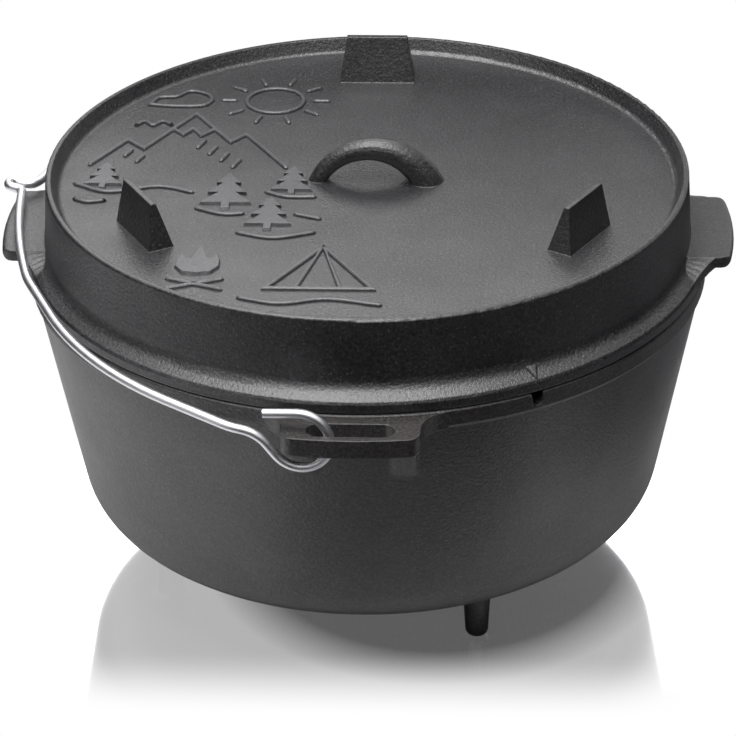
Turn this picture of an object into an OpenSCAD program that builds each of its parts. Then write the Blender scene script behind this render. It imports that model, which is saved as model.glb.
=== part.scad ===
// Camp dutch oven: a three-legged cast pot, a lid with a coal rim, feet and a
// loop handle, and a bent wire bail that hooks through two slotted ears.
// Millimetres. The ground is z = 0, Z is the pot's axis, the ears lie on Y and
// the lid's grips on X.

/* [Pot] */
// Outside diameter of the rim
rim_d = 366; // [320:2:420]
// Height of the rim above the ground
pot_h = 185; // [165:1:215]
// How far the wall leans in from the rim to the bottom
taper = 27.5; // [23:0.5:38]
// Radius of the rounded bottom edge
corner_r = 28; // [15:1:40]
// Thickness of the wall
wall = 4.5; // [4:0.1:6]
// Thickness of the bottom
floor_t = 5; // [4:0.5:8]
// Height of the band round the rim
band_h = 9; // [6:0.5:12]
// How far the band stands out from the wall
band_out = 1.5; // [0.8:0.1:2]
// Width of the probe notch in the rim
notch_w = 8; // [5:0.5:10]
// Depth of the probe notch
notch_d = 7.5; // [5.5:0.5:9]
// Direction of the probe notch
notch_a = -59.5; // [-75:0.5:-45]

/* [Legs] */
// Clear height under the pot
leg_h = 38.5; // [25:0.5:50]
// Distance of the legs inside the bottom edge
leg_in = 39.9; // [36:0.1:60]
// Diameter of a leg under the pot
leg_top_d = 16; // [14:0.5:24]
// Diameter of a leg at its foot
leg_foot_d = 12.5; // [10:0.5:14]
// Rounding of the foot
leg_tip_r = 3.5; // [2:0.25:4]
// Direction of the first leg
leg_a = -58; // [-70:1:-50]

/* [Ears] */
// How far an ear stands out from the rim
ear_out = 24; // [23:0.5:29]
// Half width of an ear
ear_half = 35; // [33:0.5:38]
// Thickness of an ear
ear_t = 10; // [7:0.5:11]
// How far the top of an ear lies below the rim
ear_drop = 1; // [0.5:0.5:3]
// Length of the slot in an ear
slot_l = 44; // [40:0.5:46]
// Width of the slot
slot_w = 12.5; // [11:0.25:13]
// Metal left outside the slot
ear_bar = 4.5; // [4:0.25:5]
// Hollow where the ears leave the rim
ear_root_r = 18; // [12:0.5:19]
// Height of the two gussets below an ear
gusset_h = 28; // [20:1:35]
// Thickness of a gusset
gusset_t = 12; // [6:0.5:14]
// Distance of a gusset from the middle of its ear
gusset_y = 26; // [20:0.5:28]

/* [Lid] */
// Gap between the rim and the lid that lies on it
seat_gap = 0.3; // [0.2:0.05:0.5]
// Height of the lid's outer edge
edge_h = 6.1; // [4:0.1:8]
// Height the brim climbs from the edge to the coal wall
brim_rise = 5.4; // [3:0.1:7]
// Width of the brim outside the coal wall
brim_w = 8.4; // [7:0.1:11]
// How far the coal wall leans in to its top
coal_lean = 2; // [1:0.1:5]
// Height of the lid above the pot's rim
lid_h = 48.5; // [42:0.5:60]
// Depth of the tray inside the coal rim
tray_h = 8; // [5:0.5:12]
// Width of the top of the coal rim
coal_w = 3; // [2.5:0.1:4]
// Thickness of the plate
lid_t = 4.5; // [4:0.25:7]
// Depth of the lip that hangs into the pot
lip_h = 6; // [4:0.5:9]
// Thickness of the lip
lip_t = 4.2; // [4:0.1:5]
// Gap between the lip and the pot's wall
lip_gap = 2; // [1.5:0.25:3]
// Hollow between the brim and the coal wall
brim_r = 8; // [5:0.5:10]

/* [Grips and feet] */
// How far a grip stands out from the rim
grip_out = 14.5; // [11:0.5:16]
// Half width of a grip
grip_half = 36; // [30:0.5:38]
// Thickness of a grip
grip_t = 6; // [5:0.5:6.5]
// Height of a grip's top above the lid's underside
grip_top = 13.7; // [12.5:0.1:14.5]
// Rounding of the free corners of grips and ears
lug_r = 7; // [5:0.5:9]
// Length along the brim in which a grip runs out into it
grip_run = 22; // [16:1:28]
// Height of the lid's feet above the plate
foot_h = 25; // [20:0.5:32]
// Distance of a foot's inner face from the outside of the coal rim
foot_gap = 48.6; // [46.5:0.1:62]
// Thickness of a foot at the plate
foot_t = 14; // [11:0.5:16]
// Thickness of a foot at its top
foot_top_t = 3; // [3:0.5:5]
// Lean of a foot's outer face
foot_lean = 3.5; // [2:0.5:5]
// Width of a foot at the plate
foot_w = 42; // [36:0.5:48]
// Width of a foot at its top
foot_top_w = 34; // [28:0.5:36]

/* [Loop handle] */
// Where the middle of the loop stands along X
loop_x = 2.6; // [-4:0.2:6]
// Half the distance between the middles of the loop's ends
loop_half = 29.1; // [26:0.1:34]
// Height of the bar's middle at the crown
loop_h = 18.4; // [18:0.2:24]
// Thickness of the bar at its thin end
loop_thin_d = 9.2; // [8:0.2:10]
// Thickness of the bar at its thick end
loop_thick_d = 18; // [12:0.2:18]

/* [Bail] */
// Diameter of the wire
wire_d = 5; // [4:0.1:5.2]
// How far the kink stands out past the rim's radius, to the middle of the wire
kink_out = 20.5; // [19.5:0.1:21.5]
// Distance of the kink from the middle of the bail
kink_shift = 6; // [4:0.2:8]
// Lean of the kink towards the far hook
kink_tilt = 15; // [10:0.5:18]
// Radius of the kink's turn
kink_r = 4; // [3.5:0.1:4.5]
// Straight length on each side of the kink
kink_leg = 3.5; // [2.5:0.1:4.5]
// Radius of the two bends at the foot of the kink
kink_root_r = 4.5; // [4:0.1:5]
// Slope of the crown beside the kink
crown_a = 9.5; // [9:0.1:10]
// Radius of the crown, as a share of the rim's radius
crown_k = 2.09; // [2:0.01:2.15]
// Angle of the easing bend between the kink and the far half of the crown
ease_a = 21.7; // [18:0.1:24]
// Radius of the easing bend
ease_r = 20; // [16:0.5:24]
// Slope at the end of the crown
shoulder_a = 22.8; // [22.4:0.1:23.2]
// Radius of the shoulder, as a share of the rim's radius
shoulder_k = 0.33; // [0.3:0.01:0.36]
// Slope of the flank
flank_a = 33.3; // [33:0.1:33.8]
// Radius of the bend below the flank, as a share of the rim's radius
hip_k = 0.826; // [0.8:0.002:0.84]
// Slope of the run below that bend
shank_a = 69.9; // [69.5:0.1:70.5]
// Radius of the last bend in the bail's plane
heel_r = 27.5; // [26:0.5:29]
// Radius of the bend into the hook
jog_r = 20; // [15:0.5:22]
// Angle of the bend into the hook
jog_a = 45; // [42:1:48]
// Radius of the hook, to the middle of the wire
hook_r = 15.5; // [15:0.1:16]
// Angle of the hook
hook_a = 237; // [225:1:240]
// Straight length past the hook
hook_end = 17; // [10:0.5:18]
// Distance of a hook from the middle of its ear
hook_x = 25.4; // [24.5:0.1:26.5]
// How far a hook's middle lies inside the middle of its slot
hook_in = 0.65; // [0.5:0.05:0.8]
// Height of the swing axis above the middle of the ears
hook_lift = 0.5; // [0.4:0.1:0.8]
// How much higher the far hook rides in its ear than the near one
hook_rise = 4; // [3.6:0.1:4.4]
// Gap between the parked bail and the grip below it
rest_gap = 1.3; // [1:0.1:1.6]

/* [Hidden] */
$fn = 144;
rim_r = rim_d / 2;
base_d = rim_d - 2 * taper;
leg_r = base_d / 2 - leg_in;
ear_reach = rim_r + ear_out;
foot_d = rim_d - 2 * brim_w;
coal_d = foot_d - 2 * coal_lean;
grip_reach = rim_r + grip_out;
foot_in = coal_d / 2 - foot_gap;
lean = (rim_r - band_out - base_d / 2) / (pot_h - band_h - leg_h);
slant = sqrt(1 + lean * lean);
inner_r0 = base_d / 2 - wall * slant;
lid_z = pot_h + seat_gap;
top_z = pot_h + lid_h;
plate_z = top_z - tray_h;
mouth_r = inner_r0 + lean * (pot_h - lip_h - leg_h);
lip_r = mouth_r - lip_gap;
brim_z = lid_z + edge_h + brim_rise;
ear_z = pot_h - ear_drop - ear_t;
slot_y = ear_reach - ear_bar - slot_w / 2;
slot_end = slot_l / 2 - slot_w / 2;
loop_arc = (loop_half * loop_half + loop_h * loop_h) / (2 * loop_h);
loop_end = asin(loop_half / loop_arc) + 6;
hook_y = slot_y - hook_in;
bail_yaw = atan(hook_x / hook_y);
hook_s = sqrt(hook_x * hook_x + hook_y * hook_y);
hook_z = ear_z + ear_t / 2 + hook_lift;
bail_tip = asin(hook_rise / 2 / hook_s);
jog_lead = jog_r * tan(jog_a / 2);
jog_u = hook_r / sin(jog_a) + jog_lead;
jog_run = hook_r / tan(jog_a) - jog_lead;
kink_reach = rim_r + kink_out;
crown_r = crown_k * rim_r;
shoulder_r = shoulder_k * rim_r;
hip_r = hip_k * rim_r;
arc_s = crown_r * (sin(shoulder_a) - sin(crown_a)) + shoulder_r * (sin(flank_a) - sin(shoulder_a))
    + hip_r * (sin(shank_a) - sin(flank_a)) + heel_r * (1 - sin(shank_a));
arc_u = crown_r * (cos(crown_a) - cos(shoulder_a)) + shoulder_r * (cos(shoulder_a) - cos(flank_a))
    + hip_r * (cos(flank_a) - cos(shank_a)) + heel_r * cos(shank_a);
near_s = kink_s(kink_tilt, 0);
park_slope = asin(sin(crown_a) + (grip_half + kink_reach * sin(bail_yaw) + kink_shift - near_s) / crown_r);
park_u = kink_u(kink_tilt, 0) - crown_r * (cos(crown_a) - cos(park_slope));
park_a = asin((lid_z + grip_top + rest_gap + wire_d / 2 - hook_z) / park_u);
joint_gap = 0.05;
joint_over = 0.04;

// Where the crown starts on one side of the kink, along the bail's span
function kink_s(tilt, ease) = kink_r * cos(tilt) + kink_leg * sin(tilt)
    + kink_root_r * (cos(tilt) - sin(crown_a + ease)) + ease_r * (sin(crown_a + ease) - sin(crown_a));

// Where it starts above the swing axis
function kink_u(tilt, ease) = kink_reach - kink_r * (1 - sin(tilt)) - kink_leg * cos(tilt)
    - kink_root_r * (cos(crown_a + ease) - sin(tilt)) - ease_r * (cos(crown_a) - cos(crown_a + ease));

// Half section of a round dish: a flat bottom of radius r0, a rounded edge and a leaning side
module dish_2d(r0, z0, z1, edge, m) {
    k = sqrt(1 + m * m);
    x = r0 + m * edge - edge * k;
    polygon([
        [0, z0], [x, z0], [x + edge / k, z0 + edge - edge * m / k],
        [r0 + m * (z1 - z0), z1], [0, z1]
    ]);
    translate([x, z0 + edge]) circle(edge);
}

// Hollow fillet in the corner at p between the directions a and b
module fillet_2d(p, a, b, r) {
    turn = acos(a * b) / 2;
    t = r / tan(turn);
    c = p + (a + b) / norm(a + b) * r / sin(turn);
    difference() {
        polygon([p - (a + b), p + t * a, c, p + t * b]);
        translate(c) circle(r);
    }
}

// Outline of a lug along X that grows out of the round rim
module lug_2d(reach, half) {
    corner = reach - lug_r;
    tip = asin((half - lug_r) / corner);
    intersection() {
        circle(reach);
        polygon([[0, 0], 1.2 * reach * [cos(tip), sin(tip)], 1.2 * reach * [cos(tip), -sin(tip)]]);
    }
    translate([0, -half]) square([corner * cos(tip), 2 * half]);
    for (side = [-1, 1]) translate([corner * cos(tip), side * (half - lug_r)]) circle(lug_r);
}

module ear_2d() {
    root_y = ear_half + ear_root_r;
    root_x = sqrt((rim_r + ear_root_r) * (rim_r + ear_root_r) - root_y * root_y);
    lug_2d(ear_reach, ear_half);
    for (side = [-1, 1]) difference() {
        polygon([
            [root_x - 2 * ear_root_r, side * (ear_half - 1)], [root_x, side * (ear_half - 1)],
            [root_x, side * root_y], [root_x, side * root_y] * rim_r / (rim_r + ear_root_r),
            [root_x - 2 * ear_root_r, side * root_y] * rim_r / (rim_r + ear_root_r)
        ]);
        translate([root_x, side * root_y]) circle(ear_root_r);
    }
}

module ear() {
    low_z = ear_z - gusset_h;
    low_r = base_d / 2 + lean * (low_z - leg_h);
    translate([0, 0, ear_z]) linear_extrude(ear_t) ear_2d();
    for (side = [-1, 1])
        translate([0, side * gusset_y + gusset_t / 2, 0])
            rotate([90, 0, 0]) linear_extrude(gusset_t)
                polygon([
                    [rim_r - 12, ear_z + 1], [rim_r + 5.5, ear_z + 1], [rim_r + 5.5, ear_z - 1],
                    [low_r + 0.5, low_z], [low_r - 6, low_z]
                ]);
}

module ear_slot() {
    translate([slot_y, 0, ear_z - 1]) linear_extrude(ear_t + 2) {
        translate([-slot_w / 2, -slot_end]) square([slot_w, 2 * slot_end]);
        for (side = [-1, 1]) translate([0, side * slot_end]) circle(slot_w / 2);
    }
}

module leg() {
    foot_r = leg_foot_d / 2;
    rotate_extrude() {
        polygon([
            [0, 0], [foot_r - leg_tip_r, 0], [foot_r, leg_tip_r], [leg_top_d / 2, leg_h - 3],
            [leg_top_d / 2 + 4, leg_h + 1], [0, leg_h + 1]
        ]);
        translate([foot_r - leg_tip_r, leg_tip_r]) intersection() {
            circle(leg_tip_r);
            translate([0, -leg_tip_r]) square([leg_tip_r, leg_tip_r]);
        }
    }
}

module pot() color("#4a4a4c") difference() {
    union() {
        rotate_extrude() {
            dish_2d(base_d / 2, leg_h, pot_h - band_h, corner_r, lean);
            polygon([
                [0, pot_h - band_h - 2 * band_out], [rim_r - band_out - 1, pot_h - band_h - 2 * band_out],
                [rim_r, pot_h - band_h], [rim_r, pot_h - 1], [rim_r - 1, pot_h], [0, pot_h]
            ]);
        }
        for (turn = [90, 270]) rotate(turn) ear();
        for (k = [0:2]) rotate(leg_a + 120 * k) translate([leg_r, 0, 0]) leg();
    }
    rotate_extrude() dish_2d(inner_r0 + lean * floor_t, leg_h + floor_t, pot_h + 1, corner_r - wall, lean);
    for (turn = [90, 270]) rotate(turn) ear_slot();
    rotate(notch_a) translate([rim_r - 20, 0, pot_h - notch_d + notch_w * 0.35]) rotate([90, 0, 90])
        linear_extrude(40) {
            circle(notch_w * 0.35);
            polygon([
                [-notch_w * 0.35, 0], [notch_w * 0.35, 0], [notch_w / 2, notch_d], [-notch_w / 2, notch_d]
            ]);
        }
}

module lid_section() {
    foot_p = [foot_d / 2, brim_z];
    out_v = [rim_r, lid_z + edge_h] - foot_p;
    up_v = [coal_d / 2, top_z] - foot_p;
    difference() {
        union() {
            polygon([
                [0, lid_z - lip_h], [lip_r - 1, lid_z - lip_h], [lip_r, lid_z - lip_h + 1], [lip_r, lid_z],
                [rim_r - 0.8, lid_z], [rim_r, lid_z + 0.8], [rim_r, lid_z + edge_h - 1],
                [rim_r, lid_z + edge_h - 1] + [-0.8, 1 + 0.5], foot_p, [coal_d / 2, top_z - coal_w / 2],
                [coal_d / 2 - coal_w / 2, top_z], [0, top_z]
            ]);
            translate([coal_d / 2 - coal_w / 2, top_z - coal_w / 2]) circle(coal_w / 2);
            fillet_2d(foot_p, out_v / norm(out_v), up_v / norm(up_v), brim_r);
        }
        dish_2d(coal_d / 2 - coal_w - 0.45 * tray_h, plate_z, top_z + 2, 3, 0.45);
        translate([0, plate_z - lid_t]) mirror([0, 1])
            dish_2d(lip_r - lip_t - 3, 0, lid_h - tray_h - lid_t + lip_h + 2, 10, 0.07);
    }
}

module grip() {
    translate([0, 0, lid_z + grip_top - grip_t]) intersection() {
        linear_extrude(grip_t) lug_2d(grip_reach, grip_half);
        rotate_extrude() {
            translate([lip_r - 4, 0]) square([grip_reach - lip_r + 4 - grip_t / 2, grip_t]);
            translate([grip_reach - grip_t / 2, grip_t / 2]) circle(grip_t / 2);
        }
    }
}

// End of a grip that sinks and narrows into the brim
module grip_root() {
    rings = 8;
    root_r = foot_d / 2 - 2.5;
    from_a = asin((grip_half - 4) / rim_r);
    to_a = asin((grip_half + grip_run) / rim_r);
    points = [
        for (i = [0:rings])
            let (t = i / rings, sink = t * t * (3 - 2 * t), a = from_a + (to_a - from_a) * t)
            let (r = rim_r - 0.8 + (grip_out - 5) * (1 - t) * (1 - t))
            let (low = (grip_top - grip_t + 0.1) * (1 - sink) + 0.3 * sink)
            let (edge = (grip_top - 0.1) * (1 - sink) + (edge_h - 0.4) * sink)
            let (top = (grip_top - 0.1) * (1 - sink) + (edge_h + brim_rise - 0.5) * sink)
            each [
                [root_r * cos(a), root_r * sin(a), lid_z + low], [r * cos(a), r * sin(a), lid_z + low],
                [r * cos(a), r * sin(a), lid_z + edge], [root_r * cos(a), root_r * sin(a), lid_z + top]
            ]
    ];
    faces = [
        [3, 2, 1, 0],
        for (i = [0:rings - 1]) for (j = [0:3]) for (half = [0, 1])
            let (k = (j + 1) % 4, at = 4 * i)
            half == 0 ? [at + j, at + k, at + 4 + j] : [at + k, at + 4 + k, at + 4 + j],
        [4 * rings, 4 * rings + 1, 4 * rings + 2, 4 * rings + 3]
    ];
    polyhedron(points, faces, convexity = 4);
}

module lid_foot() {
    intersection() {
        translate([0, foot_w / 2, plate_z - 1]) rotate([90, 0, 0]) linear_extrude(foot_w)
            polygon([
                [foot_in, 0], [foot_in + foot_t, 0], [foot_in + foot_t, 1],
                [foot_in + foot_t - foot_lean, foot_h + 1],
                [foot_in + foot_t - foot_lean - foot_top_t, foot_h + 1], [foot_in, 1]
            ]);
        translate([foot_in - 1, 0, plate_z - 1]) rotate([90, 0, 90]) linear_extrude(foot_t + 2)
            polygon([
                [-foot_w / 2, 0], [foot_w / 2, 0], [foot_w / 2, 1], [foot_top_w / 2, foot_h + 1],
                [-foot_top_w / 2, foot_h + 1], [-foot_w / 2, 1]
            ]);
    }
}

// Round bar on an arc in the XZ plane, thicker towards +X
module loop_handle() {
    rings = 24;
    sides = 20;
    points = [
        for (i = [0:rings]) for (j = [0:sides - 1])
            let (a = loop_end * (2 * i / rings - 1), b = 360 * j / sides)
            let (r = (loop_thin_d + (loop_thick_d - loop_thin_d) * pow(i / rings, 1.5)) / 2)
            let (out = loop_arc + r * cos(b))
            [loop_x + out * sin(a), r * sin(b), plate_z + loop_h - loop_arc + out * cos(a)]
    ];
    faces = [
        [for (j = [0:sides - 1]) sides - 1 - j],
        for (i = [0:rings - 1]) for (j = [0:sides - 1])
            let (k = (j + 1) % sides)
            [i * sides + k, (i + 1) * sides + k, (i + 1) * sides + j, i * sides + j],
        [for (j = [0:sides - 1]) rings * sides + j]
    ];
    polyhedron(points, faces, convexity = 4);
}

module lid() color("#505052") difference() {
    union() {
        rotate_extrude() lid_section();
        for (turn = [0, 180]) rotate(turn) {
            difference() {
                grip();
                translate([0, 0, lid_z]) cylinder(h = grip_top + 1, r = lip_r - 3);
            }
            grip_root();
            mirror([0, 1, 0]) grip_root();
        }
        for (k = [0:2]) rotate(90 + 120 * k) lid_foot();
        intersection() {
            loop_handle();
            translate([-grip_reach, -50, plate_z - lid_t / 2]) cube([2 * grip_reach, 100, 100]);
        }
    }
    rotate(notch_a) translate([lip_r - 20, -notch_w / 2, lid_z - lip_h - 1]) cube([22, notch_w, lip_h + 1]);
}

// One bend of the wire about Z, just short of its joints
module bend(r, a) {
    trim = joint_gap / r * 180 / PI;
    rotate(trim) rotate_extrude(angle = a - 2 * trim) translate([r, 0]) circle(d = wire_d, $fn = 48);
}

module joint_ball() sphere(d = wire_d + joint_over, $fn = 48);

// Bent wire: each step is a straight run, a roll about the wire, a bend radius and a bend angle
module wire(steps, k = 0) {
    run = steps[k][0];
    r = steps[k][2];
    a = steps[k][3];
    joint_ball();
    if (run > 0) translate([0, 0, joint_gap]) cylinder(h = run - 2 * joint_gap, d = wire_d, $fn = 48);
    if (a > 0) translate([0, 0, run]) rotate(steps[k][1]) {
        if (run > 0) joint_ball();
        translate([r, 0, 0]) rotate([90, 0, 180]) bend(r, a);
        translate([r * (1 - cos(a)), 0, r * sin(a)]) rotate([0, a, 0]) wire(steps, k + 1);
    }
}

// Half of the bail, from the kink to its hook: half span, lean of the kink to this side, easing bend
module half_bail(span, tilt, ease) {
    left_s = span - kink_s(tilt, ease) - arc_s;
    left_u = kink_u(tilt, ease) - arc_u - jog_u;
    shank_l = (left_u * cos(flank_a) - left_s * sin(flank_a)) / sin(shank_a - flank_a);
    flank_l = (left_s - shank_l * cos(shank_a)) / cos(flank_a);
    wire(concat(
        [[kink_leg, 180, kink_root_r, 90 - crown_a - ease - tilt]],
        ease > 0 ? [[0, 0, ease_r, ease]] : [],
        [
            [0, 180, crown_r, shoulder_a - crown_a],
            [0, 0, shoulder_r, flank_a - shoulder_a],
            [flank_l, 0, hip_r, shank_a - flank_a],
            [shank_l, 0, heel_r, 90 - shank_a],
            [0, -90, jog_r, jog_a],
            [jog_run, 180, hook_r, hook_a],
            [hook_end, 0, 0, 0]
        ]
    ));
}

module bail() color("#c9cacb") translate([0, 0, hook_z]) rotate(-bail_yaw) rotate([bail_tip, 0, 0])
    rotate([0, park_a, 0]) {
        translate([kink_r - kink_reach, kink_shift, 0]) rotate(90 - kink_tilt) bend(kink_r, 180);
        for (side = [1, -1]) rotate([90 - 90 * side, 0, 0])
            translate([kink_r - kink_reach, side * kink_shift, 0]) rotate(-side * kink_tilt)
                translate([0, -kink_r, 0]) rotate([90, 0, 0]) rotate([0, 90, 0])
                    half_bail(hook_s + side * kink_shift, side * kink_tilt, side < 0 ? ease_a : 0);
    }

pot();
lid();
bail();
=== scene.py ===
"""Camp dutch oven: finishes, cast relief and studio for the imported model."""

import math

import bmesh
import bpy
from bpy.props import FloatProperty, FloatVectorProperty, PointerProperty
from mathutils import Matrix, Vector


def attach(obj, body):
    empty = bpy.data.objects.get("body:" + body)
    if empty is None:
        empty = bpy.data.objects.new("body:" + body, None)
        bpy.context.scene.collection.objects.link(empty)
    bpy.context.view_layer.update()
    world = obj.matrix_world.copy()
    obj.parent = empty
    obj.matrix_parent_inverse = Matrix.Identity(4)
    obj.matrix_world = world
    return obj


bl_info = {
    "name": "Camp dutch oven",
    "version": (1, 0, 0),
    "blender": (4, 5, 0),
    "location": "View3D > Sidebar > Oven",
    "description": "Finishes, cast relief and studio for a cast-iron camp oven",
    "category": "Object",
}

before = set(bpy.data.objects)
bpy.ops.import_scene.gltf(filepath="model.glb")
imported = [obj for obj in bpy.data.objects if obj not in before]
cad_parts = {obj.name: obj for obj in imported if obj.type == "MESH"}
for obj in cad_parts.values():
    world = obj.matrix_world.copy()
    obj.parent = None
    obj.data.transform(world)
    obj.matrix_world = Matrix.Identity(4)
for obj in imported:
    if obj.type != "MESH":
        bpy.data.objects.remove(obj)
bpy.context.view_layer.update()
MM = 0.001

# Places on the castings as the solids have them: the plate's level, the brim's
# radius and level at its foot and edge, and a level just below the ears, all in
# millimetres, and the notch's turn in degrees
PLATE_Z = 225.5
BRIM_FOOT = (174.6, 196.8)
BRIM_EDGE = (182.6, 191.6)
BELOW_EARS_Z = 170.5
NOTCH_AZIMUTH = -59.5


def linear(code):
    """Linear RGBA of an sRGB hex colour."""
    parts = [int(code[i:i + 2], 16) / 255 for i in (1, 3, 5)]
    return [p / 12.92 if p <= 0.04045 else ((p + 0.055) / 1.055) ** 2.4 for p in parts] + [1.0]


def hex_colour(name, description, code):
    """Colour property with its default given as an sRGB hex value."""
    return FloatVectorProperty(
        name=name, description=description, subtype="COLOR", size=4, min=0, max=1, default=linear(code)
    )


def add(tree, kind, links=None, **settings):
    """Adds a node, sets its properties and links or sets its input sockets."""
    node = tree.nodes.new("ShaderNode" + kind)
    for key, value in settings.items():
        setattr(node, key, value)
    for socket, value in (links or {}).items():
        if isinstance(value, bpy.types.NodeSocket):
            tree.links.new(value, node.inputs[socket])
        else:
            node.inputs[socket].default_value = value
    return node


class OvenFinish(bpy.types.PropertyGroup):
    """Colours and grain of the castings and the wire"""

    pot_dark: hex_colour("Pot, dark", "Seasoned iron of the pot in its pits", "#151313")
    pot_light: hex_colour("Pot, light", "Seasoned iron of the pot on its grains", "#433f3e")
    lid_dark: hex_colour("Lid, dark", "Seasoned iron of the lid in its pits", "#121113")
    lid_light: hex_colour("Lid, light", "Seasoned iron of the lid on its grains", "#383739")
    # Painted glint: light dots in the iron's colour stand in for the sparkle of its grains
    glint: hex_colour("Painted glint", "Painted glints on the grains", "#686769")
    # Painted highlight: a lighter tone for the relief's iron, standing in for light on its cast lines
    highlighted: hex_colour("Painted highlight", "Seasoned iron rubbed on the tops of the relief", "#4e4d50")
    wire: hex_colour("Wire", "Zinc plating of the bail", "#e4e4e7")
    grain: FloatProperty(
        name="Sand grain", description="Size of the pebbles in the cast skin, as drawn", subtype="DISTANCE",
        default=1.6 * MM, min=0.3 * MM, max=4 * MM,
    )


class OvenRelief(bpy.types.PropertyGroup):
    """Sizes of the lines and the pointer cast on the lid"""

    height: FloatProperty(
        name="Height", description="Height of the cast lines", subtype="DISTANCE", default=1.6 * MM
    )
    width: FloatProperty(
        name="Width", description="Width of the cast lines", subtype="DISTANCE", default=3.0 * MM
    )
    pointer: FloatProperty(
        name="Pointer", description="Width of the pointer on the brim", subtype="DISTANCE", default=7.5 * MM
    )


class OvenStage(bpy.types.PropertyGroup):
    """Where the camera stands and what it looks at"""

    distance: FloatProperty(
        name="Distance", description="Camera to the middle of the oven", subtype="DISTANCE", default=1.9677
    )
    elevation: FloatProperty(
        name="Elevation", description="Camera height angle", subtype="ANGLE", default=math.radians(29.335)
    )
    azimuth: FloatProperty(
        name="Azimuth", description="Camera turn round the oven", subtype="ANGLE", default=math.radians(3.0)
    )
    roll: FloatProperty(name="Roll", description="Camera roll", subtype="ANGLE", default=math.radians(-0.831))
    focal: FloatProperty(name="Focal length", description="On a 36 mm sensor", unit="CAMERA", default=173.67)
    aim_right: FloatProperty(
        name="Aim, sideways", description="Point looked at, right of the pot's axis", subtype="DISTANCE",
        default=-1.03 * MM,
    )
    aim_height: FloatProperty(
        name="Aim, height", description="Point looked at, above the ground", subtype="DISTANCE", default=109.3 * MM
    )


def cast_iron(name, dark, light, look, edge_radius=1.1 * MM, root_level=None):
    """Sand-cast, seasoned iron.

    The sand leaves a fine pebbled skin and the burnt-in oil gives a dark satin
    sheen that is uneven over a few centimetres. Light dots scattered over it are
    painted glints, the sparkle of the sand grains. Real moulding sand is about 0.3 mm,
    too fine to show here, so its pebbles and glints are drawn as coarse as they need to be.
    Edges look rounded by the edge radius, and below the root level by the
    moulder's larger fillets at the roots of ribs and legs.
    """
    cloud_size, glint_spacing = 45 * MM, 1.7 * MM
    grain_depth, cloud_depth = 0.55 * MM, 1.5 * MM
    material = bpy.data.materials.new(name)
    material.use_nodes = True
    tree = material.node_tree
    tree.nodes.clear()
    place = add(tree, "TexCoord").outputs["Object"]
    sand = add(tree, "TexNoise", {
        "Vector": place, "Scale": 1 / look.grain, "Detail": 3.0, "Roughness": 0.6,
    }).outputs["Fac"]
    cloud = add(tree, "TexNoise", {
        "Vector": place, "Scale": 1 / cloud_size, "Detail": 4.0, "Roughness": 0.55,
    }).outputs["Fac"]
    # Painted glints: light dots scattered at random over the iron
    speck = add(tree, "TexVoronoi", {"Vector": place, "Scale": 1 / glint_spacing, "Randomness": 1.0})
    speck_dot = add(tree, "MapRange", {
        "Value": speck.outputs["Distance"], "From Max": 0.34, "To Min": 1.0, "To Max": 0.0,
    }).outputs[0]
    speck_lot = add(tree, "SeparateColor", {"Color": speck.outputs["Color"]}).outputs["Red"]
    speck_pick = add(tree, "MapRange", {"Value": speck_lot, "From Min": 0.65, "From Max": 0.75}).outputs[0]
    glint_mask = add(tree, "Math", {0: speck_dot, 1: speck_pick}, operation="MULTIPLY").outputs[0]
    tone = add(tree, "Mix", {"Factor": 0.3, "A": sand, "B": cloud}, data_type="FLOAT").outputs["Result"]
    tone = add(tree, "MapRange", {"Value": tone, "From Min": 0.38, "From Max": 0.62}).outputs[0]
    skin = add(tree, "Mix", {"Factor": tone, "A": dark, "B": light}, data_type="RGBA").outputs["Result"]
    colour = add(tree, "Mix", {
        "Factor": glint_mask, "A": skin, "B": look.glint,
    }, data_type="RGBA").outputs["Result"]
    gloss = add(tree, "MapRange", {"Value": cloud, "To Min": 0.45, "To Max": 0.33}).outputs[0]
    if root_level is not None:
        root_radius, blend = 5 * MM, 1 * MM
        level = add(tree, "SeparateXYZ", {"Vector": place}).outputs["Z"]
        edge_radius = add(tree, "MapRange", {
            "Value": level, "From Min": root_level - blend, "From Max": root_level,
            "To Min": root_radius, "To Max": edge_radius,
        }).outputs[0]
    edge = add(tree, "Bevel", {"Radius": edge_radius}, samples=6).outputs["Normal"]
    skin_bump = add(tree, "Bump", {
        "Height": sand, "Strength": 0.65, "Distance": grain_depth, "Normal": edge,
    }).outputs["Normal"]
    bump = add(tree, "Bump", {
        "Height": cloud, "Strength": 0.2, "Distance": cloud_depth, "Normal": skin_bump,
    }).outputs["Normal"]
    shader = add(tree, "BsdfPrincipled", {
        "Base Color": colour, "Roughness": gloss, "Metallic": 0.0, "IOR": 1.7, "Normal": bump,
    }).outputs["BSDF"]
    add(tree, "OutputMaterial", {"Surface": shader})
    return material


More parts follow.
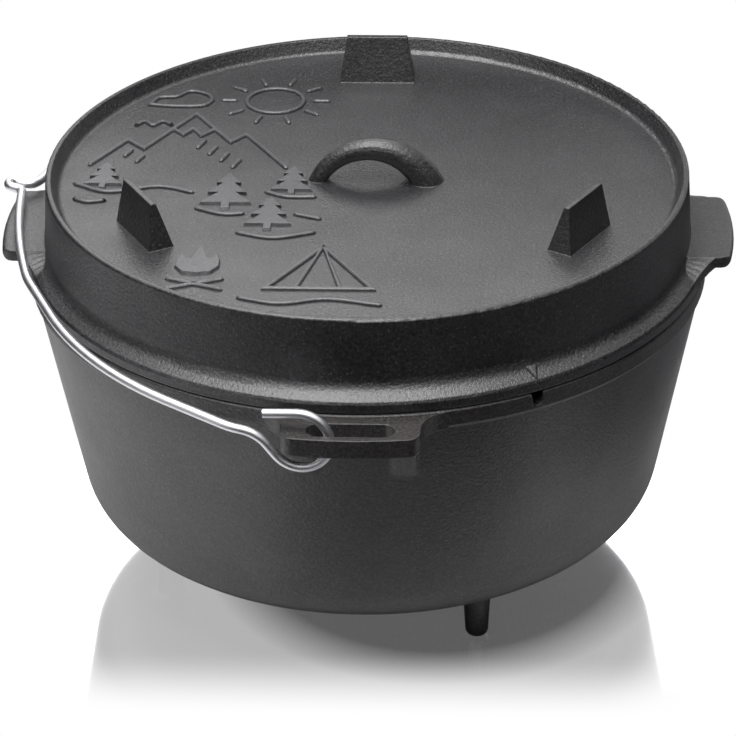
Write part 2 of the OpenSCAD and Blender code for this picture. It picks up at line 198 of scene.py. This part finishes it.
def zinc_wire(name, colour):
    """Drawn steel wire, bright zinc plated.

    The die leaves it smooth and the plating gives it a bright satin with a
    faint mottle, so it shows the white room and thin grey lines of the iron.
    """
    mottle_size, mottle_depth = 7 * MM, 0.3 * MM
    material = bpy.data.materials.new(name)
    material.use_nodes = True
    tree = material.node_tree
    tree.nodes.clear()
    place = add(tree, "TexCoord").outputs["Object"]
    mottle = add(tree, "TexNoise", {"Vector": place, "Scale": 1 / mottle_size, "Detail": 3.0}).outputs["Fac"]
    gloss = add(tree, "MapRange", {"Value": mottle, "To Min": 0.34, "To Max": 0.46}).outputs[0]
    bump = add(tree, "Bump", {"Height": mottle, "Strength": 0.12, "Distance": mottle_depth}).outputs["Normal"]
    shader = add(tree, "BsdfPrincipled", {
        "Base Color": colour, "Metallic": 1.0, "Roughness": gloss, "Normal": bump,
    }).outputs["BSDF"]
    add(tree, "OutputMaterial", {"Surface": shader})
    return material


def dress(node_name, material):
    """Gives a CAD node its finish."""
    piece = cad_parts[node_name]
    piece.data.materials.clear()
    piece.data.materials.append(material)


def piece_from(name, mesh_builder, material, body):
    """Makes an object from a bmesh and lets it ride on a body."""
    mesh = bpy.data.meshes.new(name)
    mesh_builder.to_mesh(mesh)
    mesh_builder.free()
    piece = bpy.data.objects.new(name, mesh)
    bpy.context.scene.collection.objects.link(piece)
    mesh.materials.append(material)
    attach(piece, body)


def flowing(points, steps=8):
    """Smooth run through points, by Catmull-Rom."""
    ends = [2 * points[0] - points[1]] + points + [2 * points[-1] - points[-2]]
    run = []
    for a, b, c, d in zip(ends, ends[1:], ends[2:], ends[3:]):
        for k in range(steps):
            t = k / steps
            run.append(0.5 * (2 * b + (c - a) * t + (2 * a - 5 * b + 4 * c - d) * t * t
                              + (3 * b - a - 3 * c + d) * t ** 3))
    return run + [points[-1]]


def cast_line(builder, points, width, height, smooth=False):
    """Sweeps a low ridge along points on the lid's plate.

    It is mitred at its corners, and tapered at its ends unless it is closed.
    """
    # Across and up, as shares of the width and the height
    section = [(-0.5, -0.25), (-0.4, 0.6), (-0.2, 0.95), (0.2, 0.95), (0.4, 0.6), (0.5, -0.25)]
    end_inset, end_taper, mitre_limit, same_place = 0.45, 0.5, 0.4, 0.01 * MM
    closed = (points[0] - points[-1]).length < same_place
    steps = [(b - a).normalized() for a, b in zip(points, points[1:])]
    if closed:
        points = points[:-1]
    else:
        inset = end_inset * width
        head = [points[0], points[0] + steps[0] * inset]
        tail = [points[-1] - steps[-1] * inset, points[-1]]
        points = head + points[1:-1] + tail
        steps = [steps[0]] + steps + [steps[-1]]
    last = len(points) - 1
    rings = []
    for k, point in enumerate(points):
        one = steps[k - 1] if k or closed else steps[0]
        two = steps[min(k, len(steps) - 1)]
        ahead = (one + two).normalized()
        side = Vector((ahead.y, -ahead.x)) / max(ahead.dot(two), mitre_limit)
        taper = end_taper if k in (0, last) and not closed else 1.0
        ring = []
        for across, up in section:
            flat = point + side * (across * width * taper)
            rise = up * height * (taper if up > 0 else 1.0)
            ring.append(builder.verts.new((flat.x, flat.y, PLATE_Z * MM + rise)))
        rings.append(ring)
    for one, two in zip(rings, rings[1:] + (rings[:1] if closed else [])):
        for j in range(len(section)):
            i = (j + 1) % len(section)
            builder.faces.new((one[j], one[i], two[i], two[j])).smooth = smooth
    if not closed:
        builder.faces.new(list(reversed(rings[0])))
        builder.faces.new(rings[-1])


def on_plate(pairs):
    """Points on the plate from millimetre pairs."""
    return [Vector((x * MM, y * MM)) for x, y in pairs]


def cast_patch(builder, outline, height):
    """Raises a flat patch with a closed outline and drafted sides on the lid's plate."""
    draft, sink = 0.93, 0.3 * MM
    middle = sum(outline, Vector((0, 0))) / len(outline)
    crown = [middle + (p - middle) * draft for p in outline]
    low = [builder.verts.new((p.x, p.y, PLATE_Z * MM - sink)) for p in outline]
    top = [builder.verts.new((p.x, p.y, PLATE_Z * MM + height)) for p in crown]
    faces = [builder.faces.new(top), builder.faces.new(list(reversed(low)))]
    for k in range(len(outline)):
        j = (k + 1) % len(outline)
        builder.faces.new((low[k], low[j], top[j], top[k]))
    bmesh.ops.triangulate(builder, faces=faces)


def pine(x, y, size):
    """Outline of a pine with its foot at x, y."""
    half = (
        (0, 1), (0.17, 0.68), (0.08, 0.68), (0.27, 0.38),
        (0.12, 0.38), (0.36, 0.06), (0.06, 0.06), (0.06, -0.1),
    )
    right = [(x + size * a, y + size * b) for a, b in half]
    left = [(x - size * a, y + size * b) for a, b in reversed(half[1:])]
    return on_plate(left + right)


def flame(x, y, size):
    """Outline of a flame with its foot at x, y."""
    shape = (
        (0, 0), (-0.3, 0.06), (-0.46, 0.3), (-0.44, 0.56), (-0.34, 0.84), (-0.24, 0.6),
        (-0.14, 0.62), (-0.08, 0.9), (0.04, 1.25), (0.12, 0.94), (0.2, 0.66), (0.28, 0.64),
        (0.38, 0.9), (0.46, 0.58), (0.46, 0.3), (0.3, 0.06),
    )
    return on_plate([(x + size * a, y + size * b) for a, b in shape])


class OVEN_OT_pot(bpy.types.Operator):
    """Finish the pot in sand-cast iron"""

    bl_idname = "oven.pot"
    bl_label = "Pot finish"

    def execute(self, context):
        look = context.scene.oven_finish
        iron = cast_iron(
            "Seasoned sand-cast iron, pot", look.pot_dark, look.pot_light, look, root_level=BELOW_EARS_Z * MM
        )
        dress("pot", iron)
        return {"FINISHED"}


class OVEN_OT_lid(bpy.types.Operator):
    """Finish the lid in sand-cast iron"""

    bl_idname = "oven.lid"
    bl_label = "Lid finish"

    def execute(self, context):
        look = context.scene.oven_finish
        dress("lid", cast_iron("Seasoned sand-cast iron, lid", look.lid_dark, look.lid_light, look))
        return {"FINISHED"}


class OVEN_OT_bail(bpy.types.Operator):
    """Finish the bail in bright zinc-plated wire"""

    bl_idname = "oven.bail"
    bl_label = "Bail finish"

    def execute(self, context):
        dress("bail", zinc_wire("Zinc-plated steel wire", context.scene.oven_finish.wire))
        return {"FINISHED"}


class OVEN_OT_relief(bpy.types.Operator):
    """Cast a camp scene of plain lines on the lid's plate"""

    bl_idname = "oven.relief"
    bl_label = "Lid relief"

    def on_sun(self, turn, radius):
        """Point round the sun's middle, in millimetres."""
        x, y = -56, 98
        return x + radius * math.cos(math.tau * turn), y + radius * math.sin(math.tau * turn)

    def execute(self, context):
        sizes = context.scene.oven_relief
        builder = bmesh.new()
        # Strokes and places on the plate, in millimetres from the lid's middle
        ridge = [(-152, 14), (-134, 46), (-124, 35), (-99, 80), (-77, 44), (-69, 54), (-44, 12)]
        snow = [(-110, 60), (-104, 53), (-99, 61), (-94, 52), (-87, 60)]
        tent = [(-46, -126), (-19, -80), (8, -126), (-46, -126)]
        door = [(-31, -126), (-19, -80), (-8, -126)]
        logs = [[(-98, -128), (-68, -116)], [(-98, -116), (-68, -128)]]
        shade = [[(-91 + 7 * k, 47 - 8 * k), (-95 + 7 * k, 36 - 8 * k)] for k in range(4)]
        shade += [[(-130 + 7 * k, 34 - 7 * k), (-134 + 7 * k, 25 - 7 * k)] for k in range(2)]
        disc, ray_foot, ray_end = 16, 21, 31
        rays = [[self.on_sun(k / 10, ray_foot), self.on_sun(k / 10, ray_end)] for k in range(10)]
        straight = [ridge, snow, tent, door] + logs + shade + rays
        sun = [self.on_sun(k / 12, disc) for k in range(12)]
        cloud = [(-126, 92), (-122, 101), (-112, 103), (-105, 110), (-95, 106), (-92, 98), (-97, 91), (-112, 90)]
        birds = [(-132, 64), (-127, 70), (-122, 65), (-117, 70), (-111, 65)]
        grounds = [
            [(-158, -8), (-138, -18), (-112, -11), (-92, -18)],
            [(-54, -16), (-42, -22), (-26, -22)],
            [(-156, -26), (-148, -30), (-138, -28)],
            [(-90, -36), (-75, -43), (-63, -42)],
            [(-37, -42), (-22, -48)],
            [(-66, -64), (-46, -70), (-24, -63)],
            [(-60, -136), (-38, -142), (-14, -137), (14, -143)],
        ]
        curved = [sun + sun[:1], cloud + cloud[:1], birds] + grounds
        pines = ((-142, -12, 30), (-74, -34, 40), (-50, -58, 36), (-40, -17, 32))
        fire = flame(-83, -112, 26)
        for stroke in straight:
            cast_line(builder, on_plate(stroke), sizes.width, sizes.height)
        for stroke in curved:
            cast_line(builder, flowing(on_plate(stroke)), sizes.width, sizes.height, smooth=True)
        for x, y, size in pines:
            cast_patch(builder, pine(x, y, size), sizes.height)
        cast_patch(builder, fire, sizes.height)
        bmesh.ops.recalc_face_normals(builder, faces=builder.faces)
        look = context.scene.oven_finish
        # The relief's iron runs from the lid's light tone up to the highlight tone, a lighter copy of the lid's
        # iron: painted highlight on the cast lines
        iron = cast_iron("Sand-cast iron with a painted highlight, relief", look.lid_light, look.highlighted, look, edge_radius=0.5 * MM)
        piece_from("lid_relief", builder, iron, "lid")
        return {"FINISHED"}


class OVEN_OT_pointer(bpy.types.Operator):
    """Cast the pointer on the brim, over the probe notch"""

    bl_idname = "oven.pointer"
    bl_label = "Brim pointer"

    def execute(self, context):
        half = context.scene.oven_relief.pointer / 2
        turn = Matrix.Rotation(math.radians(NOTCH_AZIMUTH), 3, "Z")
        (r_in, z_in), (r_out, z_out) = BRIM_FOOT, BRIM_EDGE
        rise, root, draft, rounding = 1.1, 1.2, 0.8, 0.35 * MM
        r_in, z_in = r_in + 1.0, z_in - 0.2
        corners = [(r_in, -half, z_in), (r_in, half, z_in), (r_out, 0.0, z_out)]
        builder = bmesh.new()
        low = [builder.verts.new(turn @ Vector((r * MM, y, (z - root) * MM))) for r, y, z in corners]
        top = [builder.verts.new(turn @ Vector((r * MM, y * draft, (z + rise) * MM))) for r, y, z in corners]
        builder.faces.new(top)
        builder.faces.new(list(reversed(low)))
        for k in range(3):
            j = (k + 1) % 3
            builder.faces.new((low[k], low[j], top[j], top[k]))
        bmesh.ops.recalc_face_normals(builder, faces=builder.faces)
        bmesh.ops.bevel(builder, geom=list(builder.edges), offset=rounding, segments=2, affect="EDGES")
        piece_from("brim_pointer", builder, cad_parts["lid"].data.materials[0], "lid")
        return {"FINISHED"}


class OVEN_OT_stage(bpy.types.Operator):
    """Set the floor, light and camera"""

    bl_idname = "oven.stage"
    bl_label = "Studio"

    def execute(self, context):
        view = context.scene.oven_stage
        self.camera(context, view)
        self.floor(context)
        self.flags(context)
        self.light(context)
        context.scene.view_settings.view_transform = "Standard"
        return {"FINISHED"}

    def camera(self, context, view):
        """Camera turned round the oven, raised, and rolled about its own line of sight."""
        a, e = view.azimuth, view.elevation
        back = Vector((math.sin(a) * math.cos(e), -math.cos(a) * math.cos(e), math.sin(e)))
        level = Vector((math.cos(a), math.sin(a), 0))
        steep = back.cross(level)
        right = math.cos(view.roll) * level + math.sin(view.roll) * steep
        up = -math.sin(view.roll) * level + math.cos(view.roll) * steep
        target = level * view.aim_right + Vector((0, 0, view.aim_height))
        data = bpy.data.cameras.new("Camera")
        data.lens = view.focal
        data.sensor_width = 36
        camera = bpy.data.objects.new("Camera", data)
        context.scene.collection.objects.link(camera)
        turn = Matrix((right, up, back)).transposed().to_4x4()
        camera.matrix_world = Matrix.Translation(target + back * view.distance) @ turn
        context.scene.camera = camera

    def floor(self, context):
        """Sheet of white cast acrylic.

        Its polished face mirrors the oven's foot and keeps its soft shadow. Both
        fade to plain white round the oven and in front of it. In an oval below the
        oven the mirror's share is raised, a painted shadow there.
        """
        mesh = bpy.data.meshes.new("floor")
        half = 6.0
        corners = [(-half, -half, 0), (half, -half, 0), (half, half, 0), (-half, half, 0)]
        mesh.from_pydata(corners, [], [range(4)])
        floor = bpy.data.objects.new("floor", mesh)
        context.scene.collection.objects.link(floor)
        material = bpy.data.materials.new("White acrylic sheet")
        material.use_nodes = True
        tree = material.node_tree
        tree.nodes.clear()
        # Metres over which the mirror comes and goes: in front of the oven, below it,
        # where its raised share is a painted shadow, and all round it
        front, below, around = (-0.18, -0.118), (0.105, 0.135), (0.165, 0.215)
        path = add(tree, "LightPath")
        place = add(tree, "TexCoord").outputs["Object"]
        spot = add(tree, "SeparateXYZ", {"Vector": place})
        fade = add(tree, "MapRange", {
            "Value": spot.outputs["Y"], "From Min": front[0], "From Max": front[1], "To Min": 0.0, "To Max": 0.56,
        }, interpolation_type="SMOOTHSTEP").outputs[0]
        under = add(tree, "VectorMath", {
            0: place, 1: (1.0, 0.9, 0.0), 2: (-0.038, 0.0, 0.0),
        }, operation="MULTIPLY_ADD").outputs["Vector"]
        under = add(tree, "VectorMath", {0: under}, operation="LENGTH").outputs["Value"]
        # Painted shadow: more of the dark mirror and shaded sheet in an oval below the oven
        painted_shadow = add(tree, "MapRange", {
            "Value": under, "From Min": below[0], "From Max": below[1], "To Min": 0.34, "To Max": 0.0,
        }).outputs[0]
        round_about = add(tree, "VectorMath", {
            0: place, 1: (1.0, 0.75, 0.0),
        }, operation="MULTIPLY").outputs["Vector"]
        round_about = add(tree, "VectorMath", {0: round_about}, operation="LENGTH").outputs["Value"]
        near = add(tree, "MapRange", {
            "Value": round_about, "From Min": around[0], "From Max": around[1], "To Min": 1.0, "To Max": 0.0,
        }, interpolation_type="SMOOTHSTEP").outputs[0]
        mirror_share = add(tree, "Math", {0: fade, 1: painted_shadow}, operation="ADD").outputs[0]
        mirror_share = add(tree, "Math", {0: mirror_share, 1: near}, operation="MULTIPLY").outputs[0]
        matt = add(tree, "BsdfDiffuse", {"Color": linear("#ececee")}).outputs[0]
        mirror = add(tree, "BsdfGlossy", {"Color": linear("#fcfaff"), "Roughness": 0.07}).outputs[0]
        depth = add(tree, "BsdfDiffuse", {"Color": linear("#f6f3fc")}).outputs[0]
        bright = add(tree, "Emission", {"Color": linear("#ffffff"), "Strength": 1.0}).outputs[0]
        sheet = add(tree, "MixShader", {"Fac": 0.1, 1: mirror, 2: depth}).outputs[0]
        shown = add(tree, "MixShader", {"Fac": mirror_share, 1: bright, 2: sheet}).outputs[0]
        surface = add(tree, "MixShader", {
            "Fac": path.outputs["Is Camera Ray"], 1: matt, 2: shown,
        }).outputs[0]
        add(tree, "OutputMaterial", {"Surface": surface})
        mesh.materials.append(material)

    def flags(self, context):
        """Cards of pressed pulp, black, pale and grey.

        They are uncoated and so matt all over. They are hidden from the camera
        and keep the floor's and the room's light off upright faces.
        """
        low = 4 * MM
        cards = {
            "Black card": {
                "front_low": [(-1.4, -0.38, low), (1.4, -0.38, low), (1.4, -1.7, low), (-1.4, -1.7, low)],
                "front": [(-1.4, -1.7, 0), (1.4, -1.7, 0), (1.4, -1.7, 1.0), (-1.4, -1.7, 1.0)],
                "front_side": [(0.12, -0.21, low), (0.24, -0.21, low), (0.24, -0.38, low), (0.12, -0.38, low)],
                "back_low": [(-1.2, 0.33, low), (1.2, 0.33, low), (1.2, 1.3, low), (-1.2, 1.3, low)],
                "back": [
                    (-0.2, 0.34, 0.27), (0.1, 0.34, 0.27), (0.15, 0.34, 0.335),
                    (0.34, 0.34, 0.335), (0.34, 0.34, 0.54), (0.24, 0.34, 0.54), (-0.2, 0.34, 0.4),
                ],
                "left_low": [(-1.2, 0.14, low), (-0.31, 0.14, low), (-0.31, 0.33, low), (-1.2, 0.33, low)],
                "left": [(-0.75, -0.6, 0), (-0.75, 1.0, 0), (-0.75, 1.0, 0.7), (-0.75, -0.6, 0.7)],
                "right": [(0.8, -1.2, 0), (0.8, 0.6, 0), (0.8, 0.6, 0.88), (0.8, -1.2, 0.88)],
            },
            "Pale card": {
                "front_near": [(-0.08, -0.21, low), (0.12, -0.21, low), (0.12, -0.38, low), (-0.08, -0.38, low)],
            },
            "Grey card": {
                "right_low": [(0.24, -0.38, low), (1.2, -0.38, low), (1.2, 0.33, low), (0.24, 0.33, low)],
            },
        }
        colours = {"Black card": "#1c1c1e", "Pale card": "#98979a", "Grey card": "#7c7b7e"}
        for material_name, shapes in cards.items():
            material = bpy.data.materials.new(material_name)
            material.use_nodes = True
            tree = material.node_tree
            tree.nodes.clear()
            shader = add(tree, "BsdfDiffuse", {"Color": linear(colours[material_name])}).outputs[0]
            add(tree, "OutputMaterial", {"Surface": shader})
            for name, corners in shapes.items():
                mesh = bpy.data.meshes.new("card_" + name)
                mesh.from_pydata(corners, [], [range(len(corners))])
                mesh.materials.append(material)
                card = bpy.data.objects.new("card_" + name, mesh)
                context.scene.collection.objects.link(card)
                card.visible_camera = False

    def light(self, context):
        """White room, seen full bright but lighting only a little, and three soft lamps."""
        world = bpy.data.worlds.new("Studio")
        context.scene.world = world
        world.use_nodes = True
        tree = world.node_tree
        tree.nodes.clear()
        path = add(tree, "LightPath")
        seen = add(tree, "Math", {
            0: path.outputs["Is Camera Ray"], 1: path.outputs["Is Glossy Ray"],
        }, operation="MAXIMUM").outputs[0]
        seen = add(tree, "Math", {0: seen, 1: path.outputs["Is Transmission Ray"]}, operation="MAXIMUM").outputs[0]
        strength = add(tree, "MapRange", {"Value": seen, "To Min": 0.25, "To Max": 1.0}).outputs[0]
        back = add(tree, "Background", {"Color": linear("#ffffff"), "Strength": strength}).outputs[0]
        add(tree, "OutputWorld", {"Surface": back})
        # Name, place, width and height in metres, and watts
        lamps = (
            ("overhead", (-0.16, -0.32, 1.7), (1.2, 1.2), 34.0),
            ("back", (0.05, 1.3, 1.2), (1.2, 0.8), 8.0),
            ("left", (-1.8, 0.6, 0.8), (0.9, 0.9), 4.0),
        )
        aim = Vector((0, 0, 0.2))
        for name, place, (width, height), power in lamps:
            lamp = bpy.data.lights.new(name, "AREA")
            lamp.energy = power
            lamp.shape = "RECTANGLE"
            lamp.size = width
            lamp.size_y = height
            holder = bpy.data.objects.new(name, lamp)
            context.scene.collection.objects.link(holder)
            holder.location = place
            holder.rotation_euler = (aim - Vector(place)).to_track_quat("-Z", "Y").to_euler()


STEPS = (OVEN_OT_stage, OVEN_OT_pot, OVEN_OT_lid, OVEN_OT_bail, OVEN_OT_relief, OVEN_OT_pointer)


class OVEN_PT_panel(bpy.types.Panel):
    """Lists the oven's steps"""

    bl_idname = "OVEN_PT_panel"
    bl_label = "Camp dutch oven"
    bl_space_type = "VIEW_3D"
    bl_region_type = "UI"
    bl_category = "Oven"

    def draw(self, context):
        for group in (context.scene.oven_finish, context.scene.oven_relief, context.scene.oven_stage):
            for name in group.__annotations__:
                self.layout.prop(group, name)
        for step in STEPS:
            self.layout.operator(step.bl_idname)


GROUPS = {"oven_finish": OvenFinish, "oven_relief": OvenRelief, "oven_stage": OvenStage}
CLASSES = (*GROUPS.values(), *STEPS, OVEN_PT_panel)


def register():
    for cls in CLASSES:
        bpy.utils.register_class(cls)
    for name, group in GROUPS.items():
        setattr(bpy.types.Scene, name, PointerProperty(type=group))


def unregister():
    for name in GROUPS:
        delattr(bpy.types.Scene, name)
    for cls in reversed(CLASSES):
        bpy.utils.unregister_class(cls)


def main():
    register()
    bpy.ops.oven.stage()
    bpy.ops.oven.pot()
    bpy.ops.oven.lid()
    bpy.ops.oven.bail()
    bpy.ops.oven.relief()
    bpy.ops.oven.pointer()


if __name__ == "__main__":
    main()
